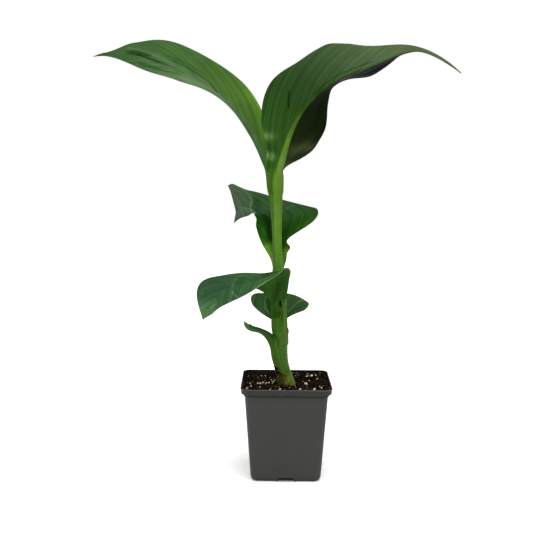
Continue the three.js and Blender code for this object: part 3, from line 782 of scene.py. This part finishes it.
def bladeSheet(leaf):
    # middle surface of a leaf. The rib sums its direction along the length; each half is an arc across it
    m, sheath = leafMesh, leaf["sheath"]
    rows = int((leaf["length"] + sheath["run"]) / m["rowGap"])
    t = np.linspace(-sheath["run"] / leaf["length"], 1, rows)[:, None]
    q = np.linspace(-1, 1, 2 * m["halfCols"] + 1)[None, :]
    heading, slope = np.radians(along(leaf["turn"], t)), np.radians(along(leaf["climb"], t))
    forward = np.stack([np.cos(slope) * np.cos(heading), np.cos(slope) * np.sin(heading), np.sin(slope)], -1)
    left = np.stack([-np.sin(heading), np.cos(heading), 0 * heading], -1)
    up = np.cross(forward, left)
    steps = (forward[1:] + forward[:-1]) / 2 * np.diff(t, axis=0)[..., None] * leaf["length"]
    rib = np.concatenate([np.zeros((1, 1, 3)), np.cumsum(steps, 0)])
    start = [np.interp(0, t[:, 0], rib[:, 0, k]) for k in range(3)]
    rib = rib + np.array(leaf["base"]) - start
    across, rise, width = np.zeros((rows, q.size)), np.zeros((rows, q.size)), np.zeros((rows, q.size))
    for side, sign, mine in (("left", 1, q < 0), ("right", -1, q >= 0)):
        w = halfWidth(leaf, side, t)
        fold, curl = np.radians(along(leaf[side + "Fold"], t)), np.radians(leaf[side + "Curl"] or m["flatCurl"])
        angle = fold + curl * np.abs(q)
        across = np.where(mine, sign * w / curl * (np.sin(angle) - np.sin(fold)), across)
        rise = np.where(mine, w / curl * (np.cos(fold) - np.cos(angle)), rise)
        width = np.where(mine, w, width)
    sheet = rib + across[..., None] * left + rise[..., None] * up
    return t, q, sheet, width


def sheathSheet(leaf, t, q):
    # the same grid laid on the stem: each row a height, each column an angle; sinks into the stem at its foot
    m, sheath = leafMesh, leaf["sheath"]
    low, high = sheath["join"]
    s = t * leaf["length"]
    rising = np.clip((s + sheath["run"]) / (high + sheath["run"]), 0, 1)
    (leftLow, leftHigh), (rightLow, rightHigh) = sheath["wrap"]
    wrap = np.where(q < 0, leftLow + (leftHigh - leftLow) * rising, rightLow + (rightHigh - rightLow) * rising)
    angle = sheath["angle"] - q * wrap
    z = leaf["base"][2] + s + 0 * q
    raised, tint = stemLayers(z, angle)
    lift = raised + m["lift"] - (m["lift"] + m["sink"]) * (1 - ease(0, m["fade"], s + sheath["run"]))
    lift = lift + sheath.get("swell", 0) * ease(*m["peel"], s) * (1 - q * q)      # the rib peels off first
    late = np.where(q < 0, sheath.get("late", 0), 0) * np.abs(q)
    return stemSurface(z, angle, lift), tint, ease(low + late, high + late, s)


def sheetNormals(sheet):
    normal = np.cross(np.gradient(sheet, axis=1), np.gradient(sheet, axis=0))
    return normal / np.maximum(np.linalg.norm(normal, axis=-1, keepdims=True), 1e-9)


def lineGap(leaf, t, q, width, path):
    # distance in millimetres, measured on the flat blade, from each point to a line of places
    x, y = t * leaf["length"] + 0 * q, q * width
    reach = [float(halfWidth(leaf, "left" if b < 0 else "right", np.array(a))) for a, b in path]
    line = [(a * leaf["length"], b * w) for (a, b), w in zip(path, reach)]
    gap = np.full(x.shape, np.inf)
    for (ax, ay), (bx, by) in zip(line, line[1:]):
        dx, dy = bx - ax, by - ay
        k = np.clip(((x - ax) * dx + (y - ay) * dy) / (dx * dx + dy * dy), 0, 1)
        gap = np.minimum(gap, np.hypot(x - ax - k * dx, y - ay - k * dy))
    return gap


def faceTint(leaf, face, t, q, width, gap):
    # colours along the length for each half, then the rib and the margins
    m, fade = leafMesh, leafMesh["edgeFade"]
    left, right = (tintAlong(h, t + 0 * q) for h in leaf[face])
    tint = blend(left, right, ease(-m["halfBlend"], m["halfBlend"], q + 0 * t))
    band = along(leaf.get("ribBand", leaf["ribWidth"]) if face == "upper" else leaf["ribWidth"], t)
    inner, outer = m["ribSoft"]
    ribShare = leaf["ribShare"][face == "under"] * (1 - ease(inner * band, outer * band, gap))
    tint = blend(tint, tintAlong(leaf["rib"], t + 0 * q), ribShare)
    for edge, mine in zip(leaf["edge"], (q < 0, q >= 0)):
        if edge:
            colour, start, end = edge
            inside = ease(start - fade, start + fade, t) * (1 - ease(end - fade, end + fade, t))
            tint = blend(tint, toLinear(colour), mine * inside * bell((width - gap) / m["edgeWidth"]))
    return tint


def addMarks(tint, leaf, face, t, q, width):
    # streaks, creases, stains, painted highlights and painted shade, all painted last, also on the sheath
    for path, wide, colour, share in leaf.get(face + "Marks", []):
        tint = blend(tint, toLinear(colour), share * bell(lineGap(leaf, t, q, width, path) / wide))
    return tint


def makeLeaf(name, leaf, material):
    m = leafMesh
    t, q, sheet, width = bladeSheet(leaf)
    hug, stemTint, free = sheathSheet(leaf, t, q)
    gap = np.abs(q) * width                               # distance from the rib
    # veins run up the sheath, then leave the rib at a slant and bow towards the tip: one number a vein
    clear = np.maximum(leaf["length"] * t - leaf["sheath"]["join"][1], 0)
    vein = clear - leaf["lean"] * gap - m["veinBow"] * gap ** 2
    side = np.sign(q) * m["sideShift"] + gap / m["pleatStretch"]
    pleat = lumps(vein + m["veinShift"], side, m["pleatGap"], m["pleatSeed"]) - 0.5
    pleat = pleat * ease(*m["pleatRib"], gap) * ease(0, m["pleatEdge"], width - gap)      # flat at rib and margins
    relief = leaf["pleat"] * pleat
    for path, wide, tall in leaf["folds"]:
        relief = relief + tall * bell(lineGap(leaf, t, q, width, path) / wide)
    sheet = sheet + sheetNormals(sheet) * relief[..., None]
    sheet = hug + (sheet - hug) * free[..., None]
    normal = sheetNormals(sheet)
    ridge = along(leaf["ribHeight"], t) * bell(gap / along(leaf["ribWidth"], t)) * free
    half = m["blade"] + (m["margin"] - m["blade"]) * np.abs(q) ** m["thinning"]
    upper = sheet + normal * (half - m["groove"] * ridge)[..., None]
    lower = sheet - normal * (half + ridge)[..., None]
    both = lambda a, b: np.concatenate([a, b[:, ::-1]], 1)
    points = both(upper, lower)
    rows, cols = points.shape[:2]
    faces = np.concatenate([wrapFaces(rows, cols), stripCap(0, cols)[:, ::-1], stripCap((rows - 1) * cols, cols)])
    tints = [addMarks(blend(stemTint, faceTint(leaf, face, t, q, width, gap), free), leaf, face, t, q, width)
             for face in ("upper", "under")]
    lane = np.sign(q) * gap
    makePiece(name, points, faces.tolist(), material, leaf["replaced"],
              dict(tint=both(*tints), vein=both(vein, vein), lane=both(lane, lane)))


def leafSkin(m):
    # living leaf blade: smooth waxy skin, close side veins that catch the light, soft cloudy greens
    material, place = newMaterial("canna leaf")
    tint, vein, lane = (addNode(material, "Attribute", attribute_name=n) for n in ("tint", "vein", "lane"))
    flat = addNode(material, "CombineXYZ", {"X": vein.outputs["Fac"], "Y": lane.outputs["Fac"]})
    lay = addNode(material, "Mapping", {"Vector": flat.outputs[0], "Scale": (1, m["laneStretch"], 1)})
    fine = pattern(material, lay.outputs[0], m["fineGap"], 0.68, 1.27)
    broad = pattern(material, lay.outputs[0], m["pleatGap"], 0.75, 1.18, 2.0)
    cloud = pattern(material, place, m["cloudSize"] * mm, 0.9, 1.08)
    rough = pattern(material, lay.outputs[0], m["fineGap"], 0.5, 0.65)
    bump = addNode(material, "Bump", {"Height": fine, "Distance": 0.4 * mm, "Strength": 0.35})
    return finishMaterial(material, Base_Color=shaded(material, tint.outputs["Color"], fine, broad, cloud),
                          Roughness=rough, Normal=bump.outputs[0], IOR=1.4, Specular_IOR_Level=0.015)


leafMaterial = leafSkin(leafMesh)
for leafName, leafShape in leaves.items():
    makeLeaf(leafName, leafShape, leafMaterial)
